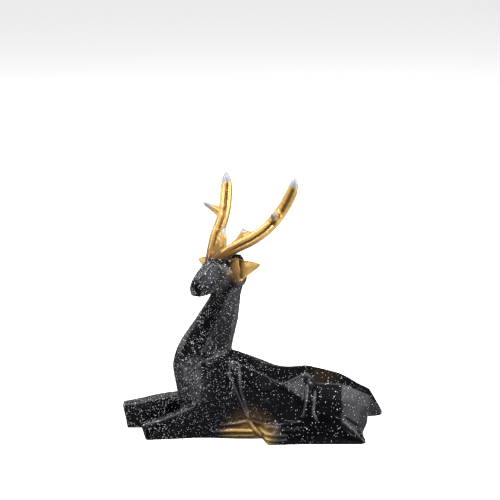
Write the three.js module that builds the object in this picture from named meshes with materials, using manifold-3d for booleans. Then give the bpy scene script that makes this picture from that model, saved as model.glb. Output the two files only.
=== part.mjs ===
import * as THREE from 'three';
import Module from 'manifold-3d';

// A recumbent stag as one faceted casting: flat underneath, forelegs folded under the chest,
// hind feet alongside the belly, head turned to its own left, two grooved antlers.
// Millimetres, +Z up, the animal faces -X and its left side is -Y.

const LENGTH = 155;          // knee of the leading foreleg to tip of the tail
const BACK_HEIGHT = 51;      // underside to the withers
const HAUNCH_HALF = 28;      // half width over the haunches
const CHEST_HALF = 18;       // half width over the shoulders
const HEAD_AT = [-13, 0, 99]; // middle of the skull
const HEAD_LENGTH = 32;      // middle of the skull to the nose
const HEAD_YAW = 48;         // degrees the head is turned to the left
const HEAD_ROLL = 4;         // degrees the left side of the head is raised
const ANTLER_RISE = 52;      // middle of the skull to the antler tips
const ANTLER_SPREAD = 27.5;  // half distance between the antler tips
const BEAM_DEPTH = 7.4;      // front to back of an antler beam
const BEAM_WIDTH = 6.2;      // across an antler beam
const GROOVE = 1.7;          // depth of the groove down each side of a beam
const LEAD = 12;             // how far the right knee lies ahead of the left

const kx = LENGTH / 155;
const kz = BACK_HEIGHT / 51;
const kh = HAUNCH_HALF / 28;
const kc = CHEST_HALF / 18;

const wasm = await Module();
wasm.setup();

const V = (x, y, z) => new THREE.Vector3(x, y, z);

// Body point from station, half width and height; width follows the chest or the haunch.
function at(x, w, z, side = -1) {
  const t = THREE.MathUtils.smoothstep(x, 0, 30);
  return V(x * kx, side * w * (kc + (kh - kc) * t), z * kz);
}

// Ring of both sides: entries are [half width, height, offset along x, drop of the right side]
// from the top down.
function ring(x, ...pts) {
  const near = pts.map(([w, z, dx = 0]) => at(x + dx, w, z, -1));
  const far = pts.filter(([w]) => w > 0).reverse()
    .map(([w, z, dx = 0, drop = 0]) => at(x + dx, w, z - drop, 1));
  return [...near, ...far];
}

// Ring on one side only: entries are [half width, height, offset along x].
function sideRing(side, x, ...pts) {
  return pts.map(([w, z, dx = 0]) => at(x + dx, w, z, side));
}

// Closed solid through a list of rings. Each quad is split so that it bulges outward;
// the quads named in turned are split the other way, on both sides of a mirrored ring.
function loft(rings, turned = []) {
  const n = rings[0].length;
  const tris = [];
  const mid = (r) => r.reduce((s, p) => s.add(p), V(0, 0, 0)).divideScalar(r.length);
  const flip = new Set();
  for (const [i, j] of turned) {
    flip.add(`${i},${j}`);
    flip.add(`${i},${n - 1 - j}`);
  }
  for (let i = 0; i < rings.length - 1; i++) {
    const core = mid(rings[i]).add(mid(rings[i + 1])).multiplyScalar(0.5);
    for (let j = 0; j < n; j++) {
      const a = rings[i][j];
      const b = rings[i][(j + 1) % n];
      const c = rings[i + 1][(j + 1) % n];
      const d = rings[i + 1][j];
      const ac = a.clone().add(c).multiplyScalar(0.5).distanceTo(core);
      const bd = b.clone().add(d).multiplyScalar(0.5).distanceTo(core);
      const useAc = (ac >= bd) !== flip.has(`${i},${j}`);
      if (useAc) {
        tris.push([a, b, c], [a, c, d]);
      } else {
        tris.push([a, b, d], [b, c, d]);
      }
    }
  }
  const first = mid(rings[0]);
  const last = mid(rings[rings.length - 1]);
  for (let j = 0; j < n; j++) {
    const k = (j + 1) % n;
    tris.push([rings[0][k], rings[0][j], first]);
    tris.push([rings[rings.length - 1][j], rings[rings.length - 1][k], last]);
  }
  return solid(tris);
}

// Adds rings between the given ones. Lines in the list run as a smooth curve along the body,
// the others stay straight from ring to ring, so the flanks keep their flat facets.
function flow(rings, extra, curved) {
  const line = (j) => new THREE.CatmullRomCurve3(rings.map((r) => r[j]), false, 'centripetal');
  const lines = rings[0].map((_, j) => line(j));
  const out = [];
  for (let i = 0; i < rings.length - 1; i++) {
    for (let k = 0; k < extra; k++) {
      const t = k / extra;
      out.push(rings[i].map((p, j) => {
        const along = (i + t) / (rings.length - 1);
        return curved.includes(j) && k > 0 ? lines[j].getPoint(along) : p.clone().lerp(rings[i + 1][j], t);
      }));
    }
  }
  out.push(rings[rings.length - 1]);
  return out;
}

// Manifold solid from triangles, turned outward if its volume comes out negative.
function solid(tris) {
  const keys = new Map();
  const verts = [];
  const idx = [];
  const id = (p) => {
    const key = [p.x, p.y, p.z].map((v) => Math.round(v * 1e4)).join();
    if (!keys.has(key)) {
      keys.set(key, verts.length / 3);
      verts.push(p.x, p.y, p.z);
    }
    return keys.get(key);
  };
  let volume = 0;
  for (const [a, b, c] of tris) {
    volume += a.dot(b.clone().cross(c));
    const t = [id(a), id(b), id(c)];
    if (t[0] !== t[1] && t[1] !== t[2] && t[0] !== t[2]) {
      idx.push(t);
    }
  }
  const flat = idx.flatMap((t) => (volume < 0 ? [t[0], t[2], t[1]] : t));
  return new wasm.Manifold(new wasm.Mesh({
    numProp: 3,
    vertProperties: new Float32Array(verts),
    triVerts: new Uint32Array(flat),
  }));
}

// Trunk from the chest to the rump: spine, back edge, widest line, lower line, underside.
const trunk = loft(flow([
  ring(-40, [0, 40], [8, 38], [12, 30], [11.5, 12], [8, 0]),
  ring(-28, [0, 50], [13, 48], [15.5, 36], [15, 12], [10, 0]),
  ring(-10, [0, 50.2], [12, 45.5, 3], [17.5, 35, 6], [15.5, 13, 8], [11, 0, 8]),
  ring(5, [0, 43.3], [14, 40.8], [20, 29.8, 0.5], [17, 12.5, 1], [12.5, 0, 1]),
  ring(17, [0, 40.2, 2], [16.5, 34.4], [17.5, 31.5, 1], [16.5, 12, 2], [14, 0, 2]),
  ring(32, [0, 40.8, 1], [6, 39.2, 0.3], [18.3, 23.6, -1.5], [20.3, 15, -3], [20, 0, -3]),
  ring(37, [0, 40.2], [12.5, 33.4, -1], [17.3, 25, -1.5], [21.5, 16.5, -2], [21, 0, 0]),
  ring(53, [0, 35.6], [11.5, 33.2, -0.5, 1.5], [17.2, 24.5, -1], [21.5, 15, -1.5], [21, 0, 0]),
  ring(62, [0, 30.3], [8.5, 28.4, 0, 1], [13, 21, 0], [17.5, 10, 0], [18, 0, 0]),
  ring(69, [0, 25, 1], [5, 24, 0.5, 0.5], [8, 18], [11, 8.5, -1], [13, 0, -5]),
], 3, [0]));

// Neck rising from the chest, a kite in section with its narrow end to the throat.
const neckRings = [
  [[-40, 0, 0], [-35, 8, 0], [-29, 13, 0], [-16, 12, 0], [-12, 0, 0]],
  [[-44.6, 0, 24], [-39, 11.5, 22], [-31, 16.5, 22], [-16, 14, 22], [-12, 0, 24]],
  [[-47.2, 0, 39], [-40.5, 9, 41], [-31, 16, 43.5], [-15, 13, 43], [-11, 0, 45]],
  [[-47.1, 0, 43], [-43, 6.5, 46], [-28.6, 15.5, 52], [-15, 7, 52.5], [-11.9, 0, 51.3]],
  [[-43.8, 0, 54], [-39.5, 5, 55.5], [-26.5, 13.5, 57.5], [-14, 6, 56.5], [-11.2, 0, 55]],
  [[-33.2, 0, 70.5], [-29, 4, 71.5], [-19, 11.5, 72.5], [-10.5, 5.5, 71], [-8, 0, 69.5]],
  [[-26, 0, 82], [-22, 4, 84], [-14.5, 10.5, 86], [-8.5, 5, 85], [-6.5, 0, 84]],
  [[-22, 0, 91], [-18, 4.5, 92], [-11, 8.5, 93], [-6, 5, 93], [-4.5, 0, 92]],
  [[-18, 0, 98], [-15, 3.5, 98], [-10, 6, 98], [-5.5, 4, 98], [-4.5, 0, 97]],
].map((r, i) => {
  const turn = [0, 0, 0, 0, 0, 0, -1, -4, -4][i];
  const near = r.map(([x, w, z]) => at(x, w, z, -1));
  const far = r.slice(1, 4).reverse().map(([x, w, z]) => at(x, w, z, 1));
  return [...near, ...far].map((p) => p.setY(p.y + turn * (p.x + 12) / -10));
});
const neck = loft(flow(neckRings, 3, [0, 1, 7]));

// Shoulder plate standing proud of the chest, bevelled down to the ribs behind.
function shoulder(side, low) {
  return loft([
    sideRing(side, -31, [9, 50 - low, 5], [16.6, 46.4 - low, 0.5], [17.3, 22], [13.4, 0], [7, 0]),
    sideRing(side, -21.5, [8, 51 - low], [17.8, 48 - low], [19.6, 24], [13.8, 0], [7, 0]),
    sideRing(side, -14, [7, 51 - low], [17.4, 48.6 - low, -0.5], [19.8, 28, 3.2], [16.4, 10, 5.6],
      [7, 0, 4]),
    sideRing(side, -13, [7, 50 - low, 1], [15.6, 48.2 - low, 0.2], [17.4, 28, 3.6], [15, 10, 5.8],
      [7, 0, 4]),
    sideRing(side, -8, [6, 48 - low], [13, 47 - low, -0.4], [16.4, 34, 1], [15.2, 12.6, 5], [7, 6, 4]),
  ]);
}

// Folded foreleg: forearm above, shank and hoof tucked back beneath it.
function foreleg(side, lead, lift) {
  const q = (x) => x - lead * THREE.MathUtils.smoothstep(-x, 10, 50);
  const r = lift;
  return loft([
    sideRing(side, q(-64), [17.5, 0, 1.3], [14, 8.3 + r, -2], [6, 7.8 + r, -2], [5, 0, 1]),
    sideRing(side, q(-54), [16.5, 0], [15, 11.6 + r * 0.75], [6, 11 + r * 0.75], [5, 0]),
    sideRing(side, q(-45), [15.3, 0], [15.8, 15.4 + r * 0.5], [6, 15 + r * 0.5], [5, 0]),
    sideRing(side, -32, [13.3, 0], [16.8, 21.8], [7, 21.5], [5, 0]),
    sideRing(side, -24, [13.3, 0], [16.8, 20], [7, 20], [5, 0]),
    sideRing(side, -8, [13, 0], [14, 8], [7, 8], [6, 0]),
  ]);
}

// Front hoof under the elbow, pointing back, ridged along its outer face.
function frontHoof(side) {
  return loft([
    sideRing(side, -24, [13.6, 0], [15.5, 5.6], [14.6, 7.4], [14.8, 9], [7, 9], [7, 0]),
    sideRing(side, -10, [14.6, 0], [17, 6], [15.8, 8], [16.8, 10.8], [8, 10.8], [8, 0]),
    sideRing(side, 0, [15, 0, 1], [17, 5.8], [15.9, 7.8], [16.2, 11.4, -1], [10, 11, -1], [9, 0, 1]),
    sideRing(side, 3, [15, 0, 2.2], [15.8, 4.6, 0.6], [15, 6, -0.6], [15, 8, -1.4], [11, 7.6, -1.4],
      [10, 0, 1.6]),
  ]);
}

// Hind foot laid along the ground from the hoof to the hock, highest under the thigh,
// its hoof ridged like the front one.
function hindFoot(side) {
  return loft([
    sideRing(side, 7, [26.5, 0, 2], [25.8, 2.2, 1.2], [24.4, 3.6, 0.6], [23, 5.4, 0], [19.5, 6.8, -1.5],
      [16, 8, -3], [13, 5, -3], [12, 0, -2]),
    sideRing(side, 13, [26.2, 0], [26, 3.2], [24.6, 4.8], [24.2, 7.6], [21.4, 8.8], [19.8, 11.4],
      [13, 10], [12, 0]),
    sideRing(side, 24, [25.3, 0], [25.2, 3.6], [24.2, 5], [23.8, 7.8], [21.8, 9.4], [20.8, 12.4],
      [13, 12], [12, 0]),
    sideRing(side, 36, [24.5, 0], [24.2, 3.6], [23.7, 6], [23.1, 8.4], [22.5, 11], [21.7, 14.2],
      [14, 14], [12, 0]),
    sideRing(side, 51, [24.5, 0], [24.2, 3.6], [23.7, 6], [23.1, 8.4], [22.6, 11], [21.9, 14.6],
      [13, 15], [12, 0]),
    sideRing(side, 63.5, [25, 0, 0.5], [24.7, 1.5, 1.4], [24, 2.6, 1.2], [23, 3.8, 0.6], [21.8, 5, -0.4],
      [14, 5.8, -1], [10, 6.2, -2], [10, 0, 0]),
    sideRing(side, 66.5, [24, 0.5, -0.4], [23.6, 1.2, 0.3], [23, 1.9, 0.2], [22.2, 2.6, -0.4],
      [21.2, 3.3, -1.2], [14, 4, -1.8], [11, 4.2, -2], [11, 0.5, -0.6]),
  ]);
}

const tail = loft([
  ring(60, [0, 31], [7, 29], [7.5, 14], [0.01, 8]),
  ring(69, [0, 26.2, 1], [5.5, 23.5], [6, 13], [0.01, 8.6]),
  ring(75.5, [0, 16.5], [2.8, 13.5], [2.6, 10.5], [0.01, 9.3]),
  ring(77.4, [0, 12.8], [1.2, 12], [1.1, 10.6], [0.01, 10.2]),
]);

// Head axes: forward to the nose, left, up.
const yaw = THREE.MathUtils.degToRad(HEAD_YAW);
const roll = THREE.MathUtils.degToRad(HEAD_ROLL);
const forward = V(-Math.cos(yaw), -Math.sin(yaw), 0);
const level = V(Math.sin(yaw), -Math.cos(yaw), 0);
const left = level.clone().multiplyScalar(Math.cos(roll)).add(V(0, 0, Math.sin(roll)));
const up = V(0, 0, Math.cos(roll)).addScaledVector(level, -Math.sin(roll));
const kl = HEAD_LENGTH / 32;

function head(f, l, u) {
  return V(HEAD_AT[0] * kx, HEAD_AT[1], HEAD_AT[2] * kz)
    .addScaledVector(forward, f * kl)
    .addScaledVector(left, l)
    .addScaledVector(up, u);
}

function headRing(f, ...pts) {
  const a = pts.map(([l, u, df = 0]) => head(f + df, l, u));
  const b = pts.slice().reverse().map(([l, u, df = 0]) => head(f + df, -l, u));
  return [...a, ...b];
}

const skull = loft([
  headRing(-8.5, [3.5, 5.5], [6.5, -1], [5, -8]),
  headRing(-4, [5.5, 8.8], [9.5, 0], [7, -9.5]),
  headRing(4, [6, 10], [10.8, 1], [7.4, -9.2]),
  headRing(10, [5.5, 9.3], [9.8, 0], [6.4, -8.7]),
  headRing(17, [4.6, 6.6], [7.4, -2], [5.4, -9]),
  headRing(24.5, [3.5, 2.4], [5.2, -4], [4.4, -10.5]),
  headRing(29.5, [2.6, -1], [3.9, -5.5], [3.3, -10.6]),
  headRing(32, [1.7, -3.4], [2.4, -6], [2, -9]),
]);

// Ear: a cupped leaf from its rim to its point, on a wedge that swells from the cheek.
function ear(side, tipForward, tipOut) {
  const p = (f, l, u) => head(f, side * l, u);
  const root = p(4.2, 11.6, 1.8);
  const tip = p(tipForward, tipOut, 4.7);
  const axis = tip.clone().sub(root);
  const face = forward.clone().multiplyScalar(0.75);
  face.addScaledVector(left, side * 0.66).addScaledVector(up, 0.1);
  face.addScaledVector(axis, -face.dot(axis) / axis.lengthSq()).normalize();
  const rise = axis.clone().cross(face).normalize();
  rise.multiplyScalar(Math.sign(rise.dot(up)));
  const leaf = [
    [-0.45, 8, 0, 5], [0, 7.2, 2.6, 5.6], [0.22, 5.6, 2.2, 4.8], [0.48, 4.1, 1.4, 3.8],
    [0.75, 2.6, 0.8, 2.6], [0.94, 1.3, 0.3, 1.7], [1, 0.6, 0.1, 1],
  ];
  const blade = loft(leaf.map(([t, h, cup, back]) => {
    const c = root.clone().addScaledVector(axis, t);
    const outline = [
      [h, 0], [0.72 * h, -0.8 * cup], [0, -cup], [-0.72 * h, -0.8 * cup],
      [-h, 0], [-0.75 * h, -back * 0.75], [0, -back], [0.75 * h, -back * 0.75],
    ];
    return outline.map(([r, d]) => c.clone().addScaledVector(rise, r).addScaledVector(face, d));
  }));
  const wedge = loft([
    [p(10.5, 6, 7), p(10.5, 6.5, 1), p(10, 5.5, -5), p(1, 4, -5), p(1, 4, 7)],
    [p(8.4, 9.6, 8.4), p(8, 9.9, 1), p(8, 8.8, -6), p(0, 5, -6), p(-1, 5, 8)],
    [p(4.8, 11.8, 8.8), p(5, 13, 1), p(4.8, 10.2, -8), p(3, 8.6, -7.4), p(2.6, 9.8, 8.2)],
  ]);
  return blade.add(wedge);
}

// Antler beam along a curve in head axes, deep front to back, with a groove down each side.
function antler(side) {
  const ks = ANTLER_SPREAD / 27.5;
  const kr = ANTLER_RISE / 52;
  const h = (f, l, u) => head(f, side * l * ks, u * kr);
  const curve = new THREE.CatmullRomCurve3([
    h(13.5, 2.6, 5.5), h(10.2, 4.2, 10.4), h(3.8, 8.4, 14.2), h(-4.6, 14, 18.2), h(-11.8, 17.5, 22.3),
    h(-18, 20.2, 27.2), h(-22.8, 22.6, 32.8), h(-26.4, 24.7, 39), h(-29, 26.3, 44.8), h(-30.6, 27.5, 52),
  ]);
  const faced = forward.clone().multiplyScalar(0.72).addScaledVector(left, 0.65);
  const steps = 22;
  const rings = [];
  for (let i = 0; i <= steps; i++) {
    const u = i / steps;
    const c = curve.getPointAt(u);
    const t = curve.getTangentAt(u);
    const thin = faced.clone().addScaledVector(t, -faced.dot(t)).normalize();
    const wide = t.clone().cross(thin).normalize();
    const swell = THREE.MathUtils.lerp(0.92, 1, THREE.MathUtils.smoothstep(u, 0.1, 0.4));
    const close = Math.sqrt(Math.max(0.05, 1 - Math.pow(Math.max(0, (u - 0.8) / 0.2), 2.2)));
    const a = (BEAM_DEPTH / 2) * swell * close;
    const b = (BEAM_WIDTH / 2) * swell * close;
    const g = GROOVE * THREE.MathUtils.smoothstep(u, 0.08, 0.24) * (u < 0.94 ? 1 : close);
    const half = [[1, 0], [0.93, 0.42], [0.74, 0.84], [0.48, 1], [0.26, 0.93]]
      .map(([p, q]) => [p * a, q * b]);
    const dip = [[0.14 * a, b - 0.75 * g], [0, b - g], [-0.14 * a, b - 0.75 * g]];
    const upper = [...half, ...dip, ...half.slice(1).reverse().map(([p, q]) => [-p, q])];
    const section = [...upper, ...upper.map(([p, q]) => [-p, -q])];
    rings.push(section.map(([p, q]) => c.clone().addScaledVector(wide, p).addScaledVector(thin, q)));
  }
  const sideTip = h(-9.2, 27.2, 34.8 - side * 1.6);
  const fork = tine(curve.getPointAt(0.62), sideTip, curve.getTangentAt(0.62), 4.8, 2.8, 1.1);
  // Web on the inner side: its free edge starts between the antlers and runs up to the brow tine.
  const brow = 24 + side * 0.8;
  const edge = [
    [0.04, 12, 0, 8.5, 1.6], [0.1, 6.4, 0, 11.6, 1.5], [0.17, 1, 0.5, 13.2, 1.3],
    [0.24, -3, 3.8, 17.8, 1.2], [0.28, -4.9, 5.6, brow - 2.4, 1.15], [0.31, -5.6, 6.4, brow, 0.9],
    [0.35, -7.2, 9, 22.4, 1], [0.43, -9.4, 14.4, 22.2, 0.9],
  ];
  const web = loft(edge.map(([u, f, l, w, thick]) => {
    const root = curve.getPointAt(u);
    const rim = h(f, l, w);
    const normal = rim.clone().sub(root).cross(curve.getTangentAt(u)).normalize();
    const part = (t, k) => root.clone().lerp(rim, t).addScaledVector(normal, k);
    return [
      part(0, 1), part(0.44, 0.6), part(0.68, thick + 0.5), part(0.94, thick * 0.8), part(1, 0),
      part(0.94, -thick * 0.8), part(0.68, -thick - 0.5), part(0.44, -0.6), part(0, -1),
    ];
  }));
  return loft(rings).add(web).add(fork);
}

// Tapered tine from its root on the beam to a blunt tip; the root is long along the beam.
function tine(root, tip, along, long, thick, blunt) {
  const axis = tip.clone().sub(root).normalize();
  const across = axis.clone().cross(along).normalize();
  const run = across.clone().cross(axis).normalize();
  const rings = [];
  for (const [t, k] of [[0, 1], [0.25, 0.7], [0.5, 0.47], [0.75, 0.33], [0.93, 0.22], [1, 0.11]]) {
    const c = root.clone().lerp(tip, t);
    const a = Math.max(long * k, blunt * (t < 1 ? 1 : 0.55));
    const b = Math.max(thick * (0.4 + 0.6 * k), blunt * (t < 1 ? 0.9 : 0.5));
    rings.push(Array.from({ length: 10 }, (_, i) => {
      const w = (i / 10) * Math.PI * 2;
      return c.clone().addScaledVector(run, a * Math.cos(w)).addScaledVector(across, b * Math.sin(w));
    }));
  }
  return loft(rings);
}

const pieces = [
  neck, shoulder(-1, 0), shoulder(1, 3), foreleg(-1, 0, 0), foreleg(1, LEAD, 6.5),
  frontHoof(-1), frontHoof(1), hindFoot(-1), hindFoot(1), tail,
  skull, ear(1, -2.5, 22), ear(-1, 2, 24), antler(1), antler(-1),
];
let whole = trunk;
for (const piece of pieces) {
  whole = whole.add(piece);
}

const out = whole.getMesh();
const geometry = new THREE.BufferGeometry();
const xyz = new Float32Array(out.numVert * 3);
for (let i = 0; i < out.numVert; i++) {
  for (let k = 0; k < 3; k++) {
    xyz[i * 3 + k] = out.vertProperties[i * out.numProp + k];
  }
}
geometry.setAttribute('position', new THREE.BufferAttribute(xyz, 3));
geometry.setIndex(new THREE.BufferAttribute(out.triVerts, 1));
geometry.computeBoundingBox();
const middle = geometry.boundingBox.getCenter(V(0, 0, 0)).setZ(geometry.boundingBox.min.z);
geometry.translate(-middle.x, -middle.y, -middle.z);
const faceted = geometry.toNonIndexed();
faceted.computeVertexNormals();

const stag = new THREE.Mesh(faceted, new THREE.MeshStandardMaterial({ color: 0x17171a, roughness: 0.4 }));
stag.name = 'stag';

const group = new THREE.Group();
group.name = 'recumbent_stag';
group.add(stag);

export default group;
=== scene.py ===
"""Recumbent stag: a faceted casting in satin black with white spatter, gilt antlers, ears and hoofs."""
import math

import bpy
import numpy as np
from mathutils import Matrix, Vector


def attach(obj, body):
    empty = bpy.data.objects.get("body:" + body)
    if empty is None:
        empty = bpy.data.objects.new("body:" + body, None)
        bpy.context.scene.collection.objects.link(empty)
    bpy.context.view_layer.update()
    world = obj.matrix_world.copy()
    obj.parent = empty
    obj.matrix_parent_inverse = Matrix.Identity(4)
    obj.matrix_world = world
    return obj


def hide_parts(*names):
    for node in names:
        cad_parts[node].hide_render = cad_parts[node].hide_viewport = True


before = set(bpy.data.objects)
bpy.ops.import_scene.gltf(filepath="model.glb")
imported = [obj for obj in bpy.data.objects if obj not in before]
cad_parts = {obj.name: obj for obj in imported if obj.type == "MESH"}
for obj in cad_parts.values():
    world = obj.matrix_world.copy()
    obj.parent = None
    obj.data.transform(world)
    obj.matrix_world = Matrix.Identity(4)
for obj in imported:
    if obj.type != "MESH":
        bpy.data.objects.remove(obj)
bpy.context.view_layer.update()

MM = 0.001

# Casting, in millimetres in the part's frame.
VOXEL = 0.62                        # grain of the rounded casting
MOST_TRIANGLES = 190000
HEAD_AT = (-12.7, -9.018, 99.0)     # middle of the skull
SPINE_Y = -9.018                    # the animal's own middle plane
HEAD_YAW, HEAD_ROLL = 48.0, 4.0     # degrees
BEAM = [(13.5, 2.6, 5.5), (10.2, 4.2, 10.4), (3.8, 8.4, 14.2), (-4.6, 14, 18.2), (-11.8, 17.5, 22.3),
        (-18, 20.2, 27.2), (-22.8, 22.6, 32.8), (-26.4, 24.7, 39), (-29, 26.3, 44.8), (-30.6, 27.5, 52)]
GROOVE_FACES = (0.72, 0.65, 0.0)    # the side of a beam its groove is on, in head axes
GROOVE_REACH = 4.6                  # no groove is painted farther from a beam's middle line
MAIN_SILVER = 6.4                   # silvered length of a beam's tip
TIP_EDGE = 0.5                      # half the width of the fade from gold to silver
TINE_SILVER = [((-9.2, 27.2, 33.2), 5.2), ((-9.2, -27.2, 36.4), 5.2),
               ((-5.6, 6.4, 24.8), 3.8), ((-5.6, -6.4, 23.2), 3.8)]   # tine tips, silvered length

# Narrow ridges along the creases of both flanks: points along the stag and above the ground,
# then height and half width.
CREASES = [
    ([(-9.5, 47.6), (-13.8, 43.4), (-13.2, 40.5)], 0.20, 0.70),
    ([(-14.0, 43.4), (-12.6, 38.7), (-6.8, 24.6), (-1.6, 11.8)], 0.70, 0.60),
    ([(-8.0, 47.7), (-7.4, 39.5), (-6.3, 29.6), (-2.2, 17.0), (-1.6, 11.8)], 0.80, 0.65),
    ([(33.0, 33.5), (31.7, 25.0), (29.9, 14.3)], 0.50, 0.60),
    ([(37.0, 30.5), (35.7, 18.0), (38.6, 12.4)], 0.75, 0.60),
    ([(52.0, 14.0), (57.5, 9.5), (63.2, 4.9)], 0.80, 0.90),
    ([(-12.0, 51.4), (-22.5, 49.6), (-30.1, 47.0), (-36.1, 40.3), (-32.6, 24.2)], 0.40, 0.65),
    ([(-66.0, 7.6), (-53.7, 11.2), (-44.7, 15.0), (-33.0, 20.6)], 0.60, 0.80),
    ([(-12.5, 89.0), (-14.2, 86.0), (-18.7, 72.5), (-26.2, 57.5), (-28.3, 52.0)], 0.25, 0.90),
    ([(-19.0, 8.8), (-9.0, 10.3), (-1.6, 11.8)], 0.70, 0.70),
    ([(-24.0, 4.6), (-10.0, 5.8), (1.6, 5.4)], 0.60, 0.70),
    ([(-22.0, 1.9), (-8.0, 2.4), (2.6, 2.6)], 0.50, 0.60),
    ([(-1.6, 11.8), (1.0, 7.5), (6.6, 1.2)], 0.80, 0.75),
    ([(-1.6, 11.8), (8.0, 9.4), (18.0, 9.4)], 0.35, 0.70),
    ([(2.0, 7.0), (12.0, 5.6), (22.0, 5.2)], 0.50, 0.70),
    ([(4.8, 3.6), (13.0, 2.8), (22.0, 2.6)], 0.50, 0.60),
]

GUTTER = 0.45                       # depth of the gutter beside a ridge, as a share of its height
HIGHLIGHT_WIDTH = 0.75                   # painted highlight along a ridge, as a share of its half width

# Rounding of the casting: passes of smoothing, and fades as where they start and end.
# BACK_LEVEL goes by how far the surface faces up.
ROUND_ALL, ROUND_BODY, ROUND_MOST = 3, 10, 40
NECK_TOP, SOLE = (80, 92), (0.0, 2.5)               # heights
HAUNCH_FRONT, HAUNCH_BACK, HAUNCH_LOW = (10, 20), (60, 66), (12, 18)
FAR_TOE, NEAR_TOE = (-74, -66), (-66, -56)          # along the stag
BACK_FRONT, BACK_END, BACK_LOW, BACK_LEVEL = (-7, -1), 60, (25, 30), (0.5, 0.8)

# Gold and brown on the head, as fades: up the skull, outward from its middle (EAR_GOLD,
# EAR_BROWN) or away from a beam (BEAM_GOLD).
HEAD_PAINT = (84, 88)               # height above the ground
CROWN_GOLD = (10.8, 13.2)
BEAM_GOLD, BEAM_FOOT = (3.0, 6.4), (6.5, 11.5)
EAR_GOLD, EAR_LOW = (5.8, 13.0), (-9.5, -5.0)
BEAM_BROWN, EAR_BROWN = (9.5, 22.0), (9.0, 16.0)

# Gold on the tucked hoofs and the glow above them: middle (along, up) and reach.
HOOF_AT, HOOF_BACKWARD, HOOF_FORWARD, HOOF_UP = (-3.0, 2.0), 20.5, 17.0, 12.5
GLOW_AT, GLOW_REACH, GLOW_SHARE = (-1.0, 5.0), (21.0, 20.0), 0.50
HIP_AT, HIP_REACH, HIP_SHARE = (43, 6, 36), (15, 14, 9), 0.13

# Colours, and a lighter one where the coat is cloudy.
BLACK, CLOUDY_BLACK = (0.0008, 0.0008, 0.0013, 1), (0.002, 0.002, 0.003, 1)
GOLD, CLOUDY_GOLD = (0.62, 0.37, 0.10, 1), (0.78, 0.52, 0.20, 1)
# Brown at the feet of the antlers and ears; the same colour is painted shade in hollows, beam grooves
# and between the hoof ridges.
BROWN_PAINT_AND_SHADE = (0.13, 0.05, 0.010, 1)
SILVER = (0.42, 0.42, 0.45, 1)
SPECK_WHITE = (0.92, 0.92, 0.95, 1)
# Painted highlight along the ridges: light grey on the black, pale gold on the gold.
HIGHLIGHT_GREY, HIGHLIGHT_GOLD = (0.30, 0.30, 0.34, 1), (0.95, 0.66, 0.28, 1)
SPECKS = [(0.62, 0.17, 0.27), (0.86, 0.22, 0.26), (1.6, 0.26, 0.15)]    # cell in mm, share, radius
SPECKS_ALONG = (-0.03, 0.02, 1.75, 0.52)            # from, to in metres, share in front, behind

BLACK_HIGHLIGHT_SHARE, GOLD_HIGHLIGHT_SHARE = 0.33, 1.1   # how strongly the painted highlight lightens the ridges
# The first is how far the brown and the painted shade cover the gold.
BROWN_SHADE_COVER, GOLD_METAL = 0.88, 0.55
ROUGHNESS = (0.22, 0.29)            # of the enamel, from clear to cloudy
GOLD_ROUGHER, SPECK_ROUGHER = 0.03, 0.2             # added on gold; on specks and silver

# Camera: a long lens at the height of the antlers.
CAMERA_ELEVATION = 13.0             # degrees
CAMERA_DISTANCE = 1.0
CAMERA_TARGET = (-0.0010, -0.0090, 0.1107)
CAMERA_LENS = 123.6

FLOOR_SIZE = 60
FLOOR_WHITE, FLOOR_DIM = (0.82, 0.82, 0.83, 1), (0.12, 0.12, 0.13, 1)
FLOOR_GLOW, AIR_DIM = 0.75, 0.045

# Bright parts of the floor beside the stag, seen only in reflections: middle, reach, strength.
FLOOR_PATCHES = [((-0.24, -0.12, 0.0), 0.18, 3.6), ((0.24, 0.0, 0.0), 0.22, 1.3)]

# Lamps: azimuth, elevation, distance, width, height, radiance, and if reflections show them.
LAMPS = [
    ("left_box", -119, 14, 1.2, 0.7, 0.45, 2.5, True),
    ("low_left_box", -66, 3, 1.2, 0.3, 0.12, 5.0, True),
    ("right_box", 75, 33, 1.2, 0.95, 0.5, 6.0, True),
    ("front_box", 20, 41, 1.2, 0.30, 0.22, 1.1, True),
    ("low_right_box", 80, 9, 1.2, 1.1, 0.36, 3.2, True),
    ("top_box", 62, 68, 1.2, 0.5, 0.4, 6.0, True),
    ("back_box", -170, 22, 1.6, 1.4, 0.4, 0.7, True),
    ("key_box", -32, 58, 1.2, 0.3, 0.3, 62.0, False),
    ("spark_box", -50, 60, 1.2, 0.25, 0.25, 30.0, True),
    ("rear_spark_box", -138, 52, 1.2, 0.35, 0.3, 8.0, True),
]
LAMPS_AIM = (0.0, 0.0, 0.07)


def select_only(obj):
    """Makes one object the only selected and the active one."""
    bpy.ops.object.select_all(action="DESELECT")
    obj.select_set(True)
    bpy.context.view_layer.objects.active = obj


def merged_copy(node, name):
    """A copy of a solid's mesh with its loose triangles joined."""
    obj = bpy.data.objects.new(name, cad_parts[node].data.copy())
    bpy.context.scene.collection.objects.link(obj)
    obj.data.materials.clear()
    select_only(obj)
    bpy.ops.object.mode_set(mode="EDIT")
    bpy.ops.mesh.select_all(action="SELECT")
    bpy.ops.mesh.remove_doubles(threshold=1e-6)
    bpy.ops.object.mode_set(mode="OBJECT")
    return obj


def apply_modifier(obj, kind, **settings):
    """Adds a modifier with its settings and applies it."""
    select_only(obj)
    mod = obj.modifiers.new(kind.lower(), kind)
    for key, value in settings.items():
        setattr(mod, key, value)
    bpy.ops.object.modifier_apply(modifier=mod.name)


# Numbers at every vertex of the casting, for its finishes.

def read_points(mesh):
    points = np.empty(len(mesh.vertices) * 3)
    mesh.vertices.foreach_get("co", points)
    return points.reshape(-1, 3) / MM


def read_normals(mesh):
    normals = np.empty(len(mesh.vertices) * 3)
    mesh.vertices.foreach_get("normal", normals)
    return normals.reshape(-1, 3)


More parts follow.
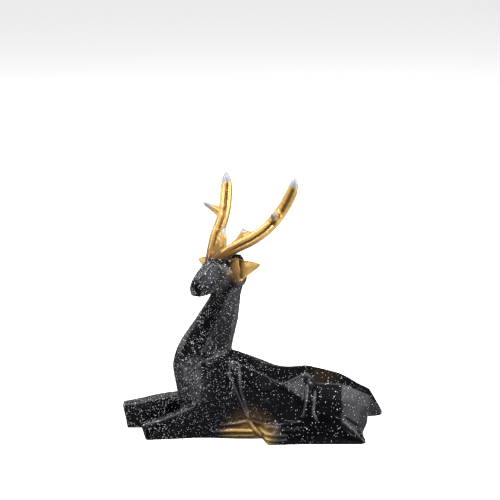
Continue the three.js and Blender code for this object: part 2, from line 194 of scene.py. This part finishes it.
def head_axes():
    yaw, roll = math.radians(HEAD_YAW), math.radians(HEAD_ROLL)
    forward = np.array((-math.cos(yaw), -math.sin(yaw), 0.0))
    level = np.array((math.sin(yaw), -math.cos(yaw), 0.0))
    rise = np.array((0.0, 0.0, 1.0))
    left = level * math.cos(roll) + rise * math.sin(roll)
    up = rise * math.cos(roll) - level * math.sin(roll)
    return np.stack((forward, left, up))


def smooth(low, high, value):
    t = np.clip((value - low) / (high - low), 0.0, 1.0)
    return t * t * (3 - 2 * t)


def line_distance(points, line):
    """Distance from each point to a line, the length left to its end, offset and direction."""
    line = np.array(line, float)
    best = np.full(len(points), 1e9)
    left_over = np.zeros(len(points))
    offset = np.zeros_like(points)
    course = np.zeros_like(points)
    lengths = np.linalg.norm(np.diff(line, axis=0), axis=1)
    for i, length in enumerate(lengths):
        step = line[i + 1] - line[i]
        t = np.clip((points - line[i]) @ step / length ** 2, 0, 1)
        away = points - line[i] - t[:, None] * step
        gap = np.linalg.norm(away, axis=1)
        nearer = gap < best
        best[nearer] = gap[nearer]
        left_over[nearer] = (lengths[i:].sum() - t * length)[nearer]
        offset[nearer] = away[nearer]
        course[nearer] = step / length
    return best, left_over, offset, course


def groove_shade_mask(head):
    """Painted shade in the grooves of both beams, wider toward the tips."""
    mask = np.zeros(len(head))
    for side in (1, -1):
        line = np.array(BEAM) * (1, side, 1)
        gap, to_tip, offset, course = line_distance(head, line)
        thin = np.array(GROOVE_FACES) - (course @ np.array(GROOVE_FACES))[:, None] * course
        thin /= np.linalg.norm(thin, axis=1)[:, None]
        across = np.abs((offset * np.cross(course, thin)).sum(axis=1))
        half = 0.8 + 0.4 * (1 - smooth(15, 50, to_tip))
        inside = (1 - smooth(0.6 * half, 1.15 * half, across)) * (gap < GROOVE_REACH)
        mask = np.maximum(mask, inside * smooth(5.0, 8.0, to_tip) * (1 - smooth(60, 68, to_tip)))
    return mask


def hollows(mesh, points, rounds):
    """How far each vertex lies below its surroundings, in millimetres."""
    edges = np.empty(len(mesh.edges) * 2, np.int64)
    mesh.edges.foreach_get("vertices", edges)
    a, b = edges.reshape(-1, 2).T
    count = np.bincount(np.concatenate((a, b)), minlength=len(points))[:, None]
    soft = points.copy()
    for _ in range(rounds):
        total = np.zeros_like(soft)
        for axis in range(3):
            total[:, axis] = np.bincount(a, soft[b, axis], len(points))
            total[:, axis] += np.bincount(b, soft[a, axis], len(points))
        soft = 0.5 * soft + 0.5 * total / count
    return ((soft - points) * read_normals(mesh)).sum(axis=1)


def set_attribute(mesh, name, values):
    attribute = mesh.attributes.new(name, "FLOAT", "POINT")
    attribute.data.foreach_set("value", np.ascontiguousarray(values, np.float32))


def wander(points, scale, seed):
    """Slow waves over the surface, between -1 and 1, for hand-laid edges of paint."""
    rng = np.random.default_rng(seed)
    total = np.zeros(len(points))
    for _ in range(6):
        direction = rng.normal(size=3)
        direction *= rng.uniform(0.6, 1.6) / scale / np.linalg.norm(direction)
        total += np.sin(points @ direction + rng.uniform(0, 6.28))
    return total / 4


def gilt_head(head, beam, wave):
    """Gold on the antlers and the ears."""
    level, out = head[:, 2], np.abs(head[:, 1])
    foot = (1 - smooth(*BEAM_GOLD, beam + 0.5 * wave)) * smooth(*BEAM_FOOT, level)
    crown = np.maximum(smooth(*CROWN_GOLD, level + 0.3 * wave), foot)
    return np.maximum(crown, smooth(*EAR_GOLD, out + 0.4 * wave) * smooth(*EAR_LOW, level))


def silvered_tips(head, beam, to_tip, wave):
    """Silver on the tips of both beams and of every tine."""
    ends = 1 - smooth(MAIN_SILVER - TIP_EDGE, MAIN_SILVER + TIP_EDGE, to_tip + 0.5 * wave)
    silver = ends * (beam < 6)
    for tip, reach in TINE_SILVER:
        gap = np.linalg.norm(head - np.array(tip), axis=1)
        edge = gap + 0.3 * wave
        silver = np.maximum(silver, 1 - smooth(reach - TIP_EDGE, reach + TIP_EDGE, edge))
    return silver


def gilt_hoofs(points):
    """Gold streaked over the tucked hoofs, with a weaker glow on the flank above."""
    along, _, up = points.T
    streak = wander(points * (0.25, 1.0, 1.6), 1.2, 5)
    reach = np.where(along > HOOF_AT[0], HOOF_BACKWARD, HOOF_FORWARD)
    core = np.hypot((along - HOOF_AT[0]) / reach, (up - HOOF_AT[1]) / HOOF_UP) + 0.09 * streak
    glow = np.hypot((along - GLOW_AT[0]) / GLOW_REACH[0], (up - GLOW_AT[1]) / GLOW_REACH[1])
    glow = 1 - smooth(0.3, 1.05, glow + 0.05 * streak)
    return np.maximum(1 - smooth(0.35, 1.15, core), GLOW_SHARE * glow)


def hip_bloom(points):
    """A faint brown bloom on top of both hips."""
    place = np.column_stack((points[:, 0], np.abs(points[:, 1] - SPINE_Y), points[:, 2]))
    away = np.linalg.norm((place - np.array(HIP_AT)) / np.array(HIP_REACH), axis=1)
    return HIP_SHARE * (1 - smooth(0.2, 1.0, away))


def brown_and_shade_head(head, beam):
    """Brown at the feet of the antlers and ears, and painted shade in the grooves of the beams."""
    level, out = head[:, 2], np.abs(head[:, 1])
    beam_foot = (1 - smooth(*BEAM_BROWN, level)) * (beam < 7)
    ear_foot = (1 - smooth(*EAR_BROWN, out)) * (level < 10)
    return np.maximum(groove_shade_mask(head), np.maximum(beam_foot, 0.7 * ear_foot))


def paint_masks(obj):
    """Stores where the gilding, the silver, the brown and the painted shade are."""
    mesh = obj.data
    points = read_points(mesh)
    head = (points - np.array(HEAD_AT)) @ head_axes().T
    mirrored = np.column_stack((head[:, 0], np.abs(head[:, 1]), head[:, 2]))
    near_head = smooth(*HEAD_PAINT, points[:, 2])
    wave = wander(points, 1.6, 3)
    beam, to_tip = line_distance(mirrored, BEAM)[:2]
    hoof = gilt_hoofs(points)
    gilt = np.maximum(gilt_head(head, beam, wave) * near_head, np.maximum(hoof, hip_bloom(points)))
    set_attribute(mesh, "gilt", gilt)
    set_attribute(mesh, "silver", silvered_tips(head, beam, to_tip, wave) * near_head)

    # Painted shade: brown in the hollows and between the hoof ridges, with the ridges left gold.
    sunk = hollows(mesh, points, 12)
    shade_between_ridges = 0.85 * smooth(0.1, 0.5, hoof) * smooth(-0.16, 0.02, sunk)
    brown_and_shade = np.maximum(smooth(0.05, 0.40, sunk), shade_between_ridges)
    set_attribute(mesh, "brown_and_shade", np.maximum(brown_and_shade, brown_and_shade_head(head, beam) * near_head))


def casting():
    """The stag as one casting with softly rounded edges."""
    obj = merged_copy("stag", "stag_casting")
    apply_modifier(obj, "REMESH", mode="VOXEL", voxel_size=VOXEL * MM, adaptivity=0.0)
    soften(obj)
    raise_creases(obj)
    paint_masks(obj)
    triangles = sum(len(p.vertices) - 2 for p in obj.data.polygons)
    if triangles > MOST_TRIANGLES:
        apply_modifier(obj, "DECIMATE", decimate_type="COLLAPSE", ratio=MOST_TRIANGLES / triangles)
    select_only(obj)
    bpy.ops.object.shade_smooth()
    return obj


def soften(obj):
    """Rounds every edge a little, those of the body more, haunches, toes and back most."""
    along, side, up = read_points(obj.data).T
    upward = read_normals(obj.data)[:, 2]
    off_ground = smooth(*SOLE, up)
    body = (1 - smooth(*NECK_TOP, up)) * off_ground
    haunch = smooth(*HAUNCH_FRONT, along) * (1 - smooth(*HAUNCH_BACK, along))
    haunch *= smooth(*HAUNCH_LOW, up)
    near_toe = (1 - smooth(*NEAR_TOE, along)) * (side < SPINE_Y)
    toes = np.minimum((1 - smooth(*FAR_TOE, along) + near_toe) * off_ground, 1.0)
    back = smooth(*BACK_FRONT, along) * smooth(*BACK_LOW, up) * smooth(*BACK_LEVEL, upward)
    most = np.maximum(haunch, np.maximum(toes, back * (along < BACK_END)))
    apply_modifier(obj, "SMOOTH", factor=0.5, iterations=ROUND_ALL)
    for name, weights, rounds in (("body", body, ROUND_BODY), ("most", most, ROUND_MOST)):
        group = obj.vertex_groups.new(name=name)
        for level in range(1, 11):
            chosen = np.nonzero(np.round(weights * 10) == level)[0]
            group.add(chosen.tolist(), level / 10, "REPLACE")
        apply_modifier(obj, "SMOOTH", factor=0.5, iterations=rounds, vertex_group=name)


def raise_creases(obj):
    """Lifts narrow ridges with a shallow gutter beside them along the creases of both flanks, and
    stores a painted highlight along their tops.
    """
    mesh = obj.data
    points = read_points(mesh)
    normals = read_normals(mesh)
    outward = np.sign(points[:, 1] - SPINE_Y)
    facing = smooth(0.15, 0.5, normals[:, 1] * outward)
    flat = points[:, (0, 2)]
    painted_ridge_highlight = np.zeros(len(points))
    for line, height, half in CREASES:
        gap, to_end = line_distance(flat, line)[:2]
        total = np.linalg.norm(np.diff(np.array(line), axis=0), axis=1).sum()
        ends = smooth(0, 3, to_end) * smooth(0, 3, total - to_end)
        ridge = np.exp(-(gap / half) ** 2) - GUTTER * np.exp(-((gap - 2 * half) / half) ** 2)
        points += normals * (height * ridge * ends * facing)[:, None]
        # Painted highlight along the top of each ridge.
        highlight_band = np.exp(-(gap / (HIGHLIGHT_WIDTH * half)) ** 2)
        painted_ridge_highlight = np.maximum(painted_ridge_highlight, height * highlight_band * ends * facing)
    mesh.vertices.foreach_set("co", (points * MM).ravel())
    mesh.update()
    set_attribute(mesh, "painted_ridge_highlight", painted_ridge_highlight)


# Finishes.

class Nodes:
    """Short hand for a node tree."""

    def __init__(self, tree):
        self.tree = tree

    def add(self, kind, inputs=None, **settings):
        node = self.tree.nodes.new(kind)
        for key, value in settings.items():
            setattr(node, key, value)
        for key, value in (inputs or {}).items():
            self.put(value, node.inputs[key])
        return node

    def put(self, value, socket):
        if isinstance(value, bpy.types.NodeSocket):
            self.tree.links.new(value, socket)
        else:
            socket.default_value = value

    def math(self, operation, a, b=0.0, clamp=False):
        return self.add("ShaderNodeMath", {0: a, 1: b}, operation=operation, use_clamp=clamp).outputs[0]

    def blend(self, factor, a, b):
        node = self.add("ShaderNodeMix", {"Factor": factor}, data_type="RGBA")
        self.put(a, node.inputs[6])
        self.put(b, node.inputs[7])
        return node.outputs[2]

    def between(self, value, low, high, start=0.0, end=1.0):
        inputs = {"Value": value, "From Min": low, "From Max": high, "To Min": start, "To Max": end}
        return self.add("ShaderNodeMapRange", inputs, interpolation_type="SMOOTHSTEP").outputs[0]

    def noise(self, place, scale, detail):
        inputs = {"Vector": place, "Scale": scale, "Detail": detail}
        return self.add("ShaderNodeTexNoise", inputs).outputs["Fac"]


def new_group(name, inputs, outputs):
    tree = bpy.data.node_groups.new(name, "ShaderNodeTree")
    for label, kind, value in inputs:
        socket = tree.interface.new_socket(label, in_out="INPUT", socket_type=kind)
        if value is not None:
            socket.default_value = value
    for label, kind in outputs:
        tree.interface.new_socket(label, in_out="OUTPUT", socket_type=kind)
    nodes = Nodes(tree)
    return nodes, nodes.add("NodeGroupInput").outputs, nodes.add("NodeGroupOutput").inputs


def spatter_group():
    """Specks of one size: a cell pattern whose cells hold a dot or nothing."""
    nodes, given, out = new_group(
        "spatter",
        [("Vector", "NodeSocketVector", None), ("Cell", "NodeSocketFloat", 1.5),
         ("Share", "NodeSocketFloat", 0.5), ("Radius", "NodeSocketFloat", 0.3)],
        [("Mask", "NodeSocketFloat"), ("Tone", "NodeSocketFloat")])
    scale = nodes.math("DIVIDE", 1000.0, given["Cell"])
    cells = nodes.add("ShaderNodeTexVoronoi", {
        "Vector": given["Vector"], "Scale": scale, "Randomness": 1.0})
    parts = nodes.add("ShaderNodeSeparateColor", {"Color": cells.outputs["Color"]}).outputs
    kept = nodes.math("LESS_THAN", parts[0], given["Share"])
    size = nodes.math("MULTIPLY", given["Radius"], nodes.between(parts[1], 0.0, 1.0, 0.55, 1.25))
    dot = nodes.between(nodes.math("DIVIDE", cells.outputs["Distance"], size), 0.85, 1.1, 1.0, 0.0)
    nodes.put(nodes.math("MULTIPLY", dot, kept), out["Mask"])
    nodes.put(nodes.between(parts[2], 0.0, 1.0, 0.3, 1.0), out["Tone"])
    return nodes.tree


def painted_casting():
    """Black enamel with white spatter, and gold and silver sprayed over it, with painted highlights on
    the ridges and painted shade on the gold.
    """
    material = bpy.data.materials.new("painted_casting")
    material.use_nodes = True
    material.node_tree.nodes.clear()
    n = Nodes(material.node_tree)
    place = n.add("ShaderNodeTexCoord").outputs["Object"]
    gilt = n.add("ShaderNodeAttribute", attribute_name="gilt").outputs["Fac"]
    silver = n.add("ShaderNodeAttribute", attribute_name="silver").outputs["Fac"]
    brown_and_shade = n.add("ShaderNodeAttribute", attribute_name="brown_and_shade").outputs["Fac"]

    spatter = spatter_group()
    patches = n.noise(place, 90.0, 2.0)
    along = n.add("ShaderNodeSeparateXYZ", {"Vector": place}).outputs["X"]
    share = n.math(
        "MULTIPLY", n.between(patches, 0.3, 0.7, 0.7, 1.15), n.between(along, *SPECKS_ALONG))
    specks = None
    for cell, part, radius in SPECKS:
        dots = n.add("ShaderNodeGroup", {}, node_tree=spatter)
        n.put(place, dots.inputs["Vector"])
        n.put(cell, dots.inputs["Cell"])
        n.put(n.math("MULTIPLY", share, part), dots.inputs["Share"])
        n.put(radius, dots.inputs["Radius"])
        tone = n.math("MULTIPLY", dots.outputs["Mask"], dots.outputs["Tone"])
        specks = tone if specks is None else n.math("MAXIMUM", specks, tone)
    specks = n.math("MULTIPLY", specks, n.between(gilt, 0.35, 0.85, 1.0, 0.0))

    grain = n.noise(place, 1400.0, 3.0)
    cloud = n.noise(place, 160.0, 3.0)

    black = n.blend(cloud, BLACK, CLOUDY_BLACK)
    # Painted highlight: the ridges lightened, grey on the black and pale on the gold.
    painted_ridge_highlight = n.add("ShaderNodeAttribute", attribute_name="painted_ridge_highlight").outputs["Fac"]
    black = n.blend(n.math("MULTIPLY", painted_ridge_highlight, BLACK_HIGHLIGHT_SHARE), black, HIGHLIGHT_GREY)
    enamel = n.blend(specks, black, SPECK_WHITE)
    gold = n.blend(cloud, GOLD, CLOUDY_GOLD)
    # Brown at the feet of antlers and ears, and painted shade in hollows and grooves of the gold.
    gold = n.blend(n.math("MULTIPLY", brown_and_shade, BROWN_SHADE_COVER), gold, BROWN_PAINT_AND_SHADE)
    gold = n.blend(n.math("MULTIPLY", painted_ridge_highlight, GOLD_HIGHLIGHT_SHARE, clamp=True), gold, HIGHLIGHT_GOLD)
    coat = n.math("POWER", gilt, 2.0)
    colour = n.blend(coat, enamel, gold)
    colour = n.blend(silver, colour, SILVER)
    metal = n.math("MULTIPLY", coat, GOLD_METAL)
    rough = n.between(cloud, 0.2, 0.8, *ROUGHNESS)
    rough = n.math("ADD", rough, n.math("MULTIPLY", coat, GOLD_ROUGHER))
    for mask in (specks, silver):
        rough = n.math("ADD", rough, n.math("MULTIPLY", mask, SPECK_ROUGHER))

    height = n.math("ADD", n.math("MULTIPLY", grain, 0.02), n.math("MULTIPLY", specks, 0.06))
    height = n.math("ADD", height, n.math("MULTIPLY", cloud, 0.05))
    bump = n.add("ShaderNodeBump", {"Strength": 0.3, "Distance": MM, "Height": height})
    shader = n.add("ShaderNodeBsdfPrincipled", {
        "Base Color": colour, "Metallic": metal, "Roughness": rough,
        "Normal": bump.outputs["Normal"], "IOR": 1.40,
        "Specular Tint": (0.93, 0.93, 1.0, 1)})
    n.add("ShaderNodeOutputMaterial", {"Surface": shader.outputs[0]})
    return material


# Studio.

def pale_floor():
    """A wide floor, white to the camera; reflections see it dark but for its bright patches."""
    bpy.ops.object.select_all(action="DESELECT")
    bpy.ops.mesh.primitive_plane_add(size=FLOOR_SIZE, location=(0, 0, -0.00005))
    floor = bpy.context.active_object
    floor.name = "floor"
    material = bpy.data.materials.new("white_floor")
    material.use_nodes = True
    material.node_tree.nodes.clear()
    n = Nodes(material.node_tree)
    matt = n.add("ShaderNodeBsdfDiffuse", {"Color": FLOOR_WHITE}).outputs[0]
    glow = n.add("ShaderNodeEmission", {"Color": (1, 1, 1, 1), "Strength": FLOOR_GLOW}).outputs[0]
    both = n.add("ShaderNodeAddShader", {0: matt, 1: glow}).outputs[0]
    dim = n.add("ShaderNodeBsdfDiffuse", {"Color": FLOOR_DIM}).outputs[0]
    place = n.add("ShaderNodeTexCoord").outputs["Object"]
    patches = 0.0
    for middle, reach, strength in FLOOR_PATCHES:
        away = n.add("ShaderNodeVectorMath", {0: place, 1: middle}, operation="DISTANCE")
        patch = n.between(away.outputs["Value"], 0.3 * reach, reach, strength, 0.0)
        patches = n.math("ADD", patch, patches)
    bounce = n.add("ShaderNodeEmission", {"Color": (1, 1, 1, 1), "Strength": patches}).outputs[0]
    unseen = n.add("ShaderNodeAddShader", {0: dim, 1: bounce}).outputs[0]
    seen = n.add("ShaderNodeLightPath").outputs["Is Camera Ray"]
    mix = n.add("ShaderNodeMixShader", {0: seen, 1: unseen, 2: both}).outputs[0]
    n.add("ShaderNodeOutputMaterial", {"Surface": mix})
    floor.data.materials.append(material)


def soft_box(name, azimuth, elevation, distance, width, height, radiance, mirrored):
    """A large soft lamp turned to the stag; azimuth 0 is the camera's side, 90 the right."""
    a, e = math.radians(azimuth), math.radians(elevation)
    offset = Vector((math.sin(a) * math.cos(e), -math.cos(a) * math.cos(e), math.sin(e))) * distance
    data = bpy.data.lights.new(name, "AREA")
    data.shape = "RECTANGLE"
    data.size, data.size_y = width, height
    data.energy = radiance * math.pi * width * height
    lamp = bpy.data.objects.new(name, data)
    lamp.location = Vector(LAMPS_AIM) + offset
    lamp.rotation_euler = (-offset).to_track_quat("-Z", "Y").to_euler()
    lamp.visible_glossy = mirrored
    bpy.context.scene.collection.objects.link(lamp)


def pale_air(scene):
    """Air that is white to the camera and dim to everything else."""
    world = bpy.data.worlds.new("studio_air")
    scene.world = world
    world.use_nodes = True
    world.node_tree.nodes.clear()
    n = Nodes(world.node_tree)
    seen = n.add("ShaderNodeLightPath").outputs["Is Camera Ray"]
    strength = n.between(seen, 0.0, 1.0, AIR_DIM, 1.0)
    air = n.add("ShaderNodeBackground", {"Color": (1, 1, 1, 1), "Strength": strength}).outputs[0]
    n.add("ShaderNodeOutputWorld", {"Surface": air})


def long_lens_camera(scene):
    data = bpy.data.cameras.new("camera")
    data.lens, data.sensor_width = CAMERA_LENS, 36.0
    camera = bpy.data.objects.new("camera", data)
    e = math.radians(CAMERA_ELEVATION)
    back = Vector((0.0, -math.cos(e), math.sin(e)))
    camera.location = Vector(CAMERA_TARGET) + back * CAMERA_DISTANCE
    camera.rotation_euler = (-back).to_track_quat("-Z", "Y").to_euler()
    scene.collection.objects.link(camera)
    scene.camera = camera


def studio():
    scene = bpy.context.scene
    pale_floor()
    for lamp in LAMPS:
        soft_box(*lamp)
    pale_air(scene)
    scene.view_settings.view_transform = "Standard"
    long_lens_camera(scene)


stag = casting()
stag.data.materials.append(painted_casting())
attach(stag, "root")
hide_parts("stag")
studio()
